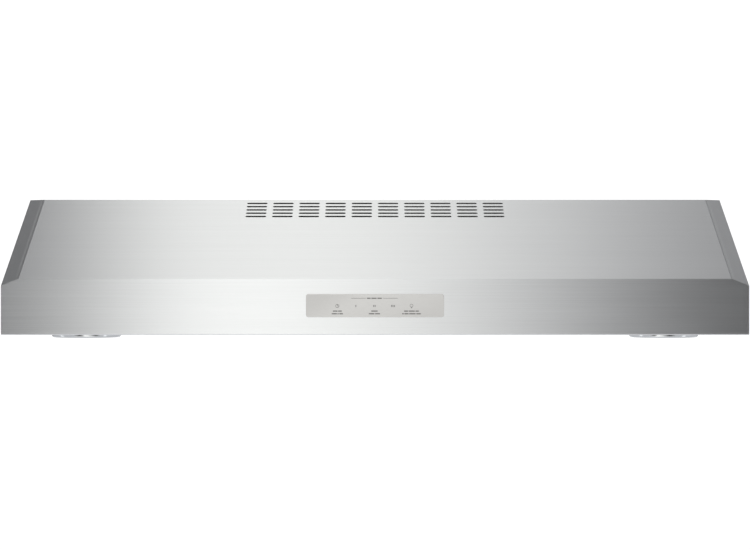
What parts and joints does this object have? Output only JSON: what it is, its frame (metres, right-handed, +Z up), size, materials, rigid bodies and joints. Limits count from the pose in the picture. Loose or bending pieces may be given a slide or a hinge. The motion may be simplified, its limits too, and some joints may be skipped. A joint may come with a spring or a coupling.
{
  "type": "under cabinet range hood",
  "caption": "Low stainless under cabinet range hood with a sloped slotted top, flush touch glass, two lamps, twin filters that tilt down, and a twin wheel blower.",
  "frame": {"origin": "centre of the top plane, which is the centre of the four cabinet screw holes", "axes": "+Z up, out of the top plane; the apron and the controls face -Y; +X is to the right of a person facing the hood"},
  "size_m": [0.759, 0.5086, 0.1475],
  "materials": {
    "stainless": "brushed along the width",
    "galvanized": "zinc coated sheet, dull with a faint spangle",
    "block_nylon": "moulded",
    "circuit_board": "solder resist",
    "lamp_circuit_board": "white solder resist",
    "black_plastic": "fine moulded texture",
    "capacitor_can": "drawn can",
    "wire_insulation": "extruded sleeve",
    "foam_gasket": "closed cell foam",
    "control_glass": "smooth grey glass, printed on its back",
    "satin_chrome": "satin chrome",
    "frosted_lens": "frosted diffuser",
    "cast_aluminium": "extruded fins",
    "motor_paint": "semi-gloss enamel",
    "motor_core": "stacked laminations",
    "bearing_bronze": "sintered bronze",
    "bright_steel": "ground and spring steel",
    "wheel_aluminium": "pressed sheet",
    "filter_aluminium": "rolled channel",
    "filter_mesh": "layers of expanded mesh",
    "screw_zinc": "zinc plated"
  },
  "bodies": {
    "hood": {"front_panel": "stainless", "side_panel_left": "stainless", "side_panel_right": "stainless", "top_panel": "galvanized", "back_panel": "galvanized", "bottom_pan": "stainless", "filter_centre_rail": "stainless", "filter_hinge_brackets": "galvanized", "top_duct_cover": "galvanized", "rear_duct_cover": "galvanized", "knockout_plug": "galvanized", "wiring_box": "galvanized", "wiring_box_cover": "galvanized", "terminal_block": "block_nylon", "control_board_tray": "galvanized", "control_board": "circuit_board", "led_driver": "black_plastic", "motor_capacitor": "capacitor_can", "wire_harness": "wire_insulation", "control_glass": "control_glass", "control_housing": "black_plastic", "touch_sensor_board": "circuit_board", "lamp_ring_left": "satin_chrome", "lamp_ring_right": "satin_chrome", "lamp_lens_left": "frosted_lens", "lamp_lens_right": "frosted_lens", "lamp_board_left": "lamp_circuit_board", "lamp_board_right": "lamp_circuit_board", "lamp_heatsink_left": "cast_aluminium", "lamp_heatsink_right": "cast_aluminium", "lamp_clips": "galvanized", "blower_scroll": "galvanized", "blower_side_left": "galvanized", "blower_side_right": "galvanized", "motor_plate_left": "galvanized", "motor_plate_right": "galvanized", "discharge_duct": "galvanized", "duct_gasket": "foam_gasket", "motor_can": "motor_paint", "motor_end_cap": "motor_paint", "motor_stator": "motor_core", "motor_bearings": "bearing_bronze", "shell_screws": "screw_zinc", "blower_screws": "screw_zinc", "cover_screws": "screw_zinc", "box_screws": "screw_zinc"},
    "fan": {"motor_shaft": "bright_steel", "motor_rotor": "motor_core", "impeller_left": "wheel_aluminium", "impeller_right": "wheel_aluminium"},
    "filter_left": {"filter_frame_left": "filter_aluminium", "filter_mesh_left": "filter_mesh", "latch_spring_left": "bright_steel"},
    "latch_left": {"filter_latch_left": "black_plastic"},
    "filter_right": {"filter_frame_right": "filter_aluminium", "filter_mesh_right": "filter_mesh", "latch_spring_right": "bright_steel"},
    "latch_right": {"filter_latch_right": "black_plastic"}
  },
  "joints": [
    {"name": "fan_spin", "type": "hinge", "parent": "hood", "child": "fan", "pos_m": [0, 0.04, -0.066], "axis": [1, 0, 0], "continuous": true},
    {"name": "filter_left_tilt", "type": "hinge", "parent": "hood", "child": "filter_left", "pos_m": [0, 0.1085, -0.1368], "axis": [1, 0, 0], "range_deg": [0, 75]},
    {"name": "latch_left_slide", "type": "slide", "parent": "filter_left", "child": "latch_left", "axis": [0, 1, 0], "range_m": [0, 0.006], "stiffness_N_per_m": 300, "springref_m": -0.002, "deforming": ["latch_spring_left"]},
    {"name": "filter_right_tilt", "type": "hinge", "parent": "hood", "child": "filter_right", "pos_m": [0, 0.1085, -0.1368], "axis": [1, 0, 0], "range_deg": [0, 75]},
    {"name": "latch_right_slide", "type": "slide", "parent": "filter_right", "child": "latch_right", "axis": [0, 1, 0], "range_m": [0, 0.006], "stiffness_N_per_m": 300, "springref_m": -0.002, "deforming": ["latch_spring_right"]}
  ]
}
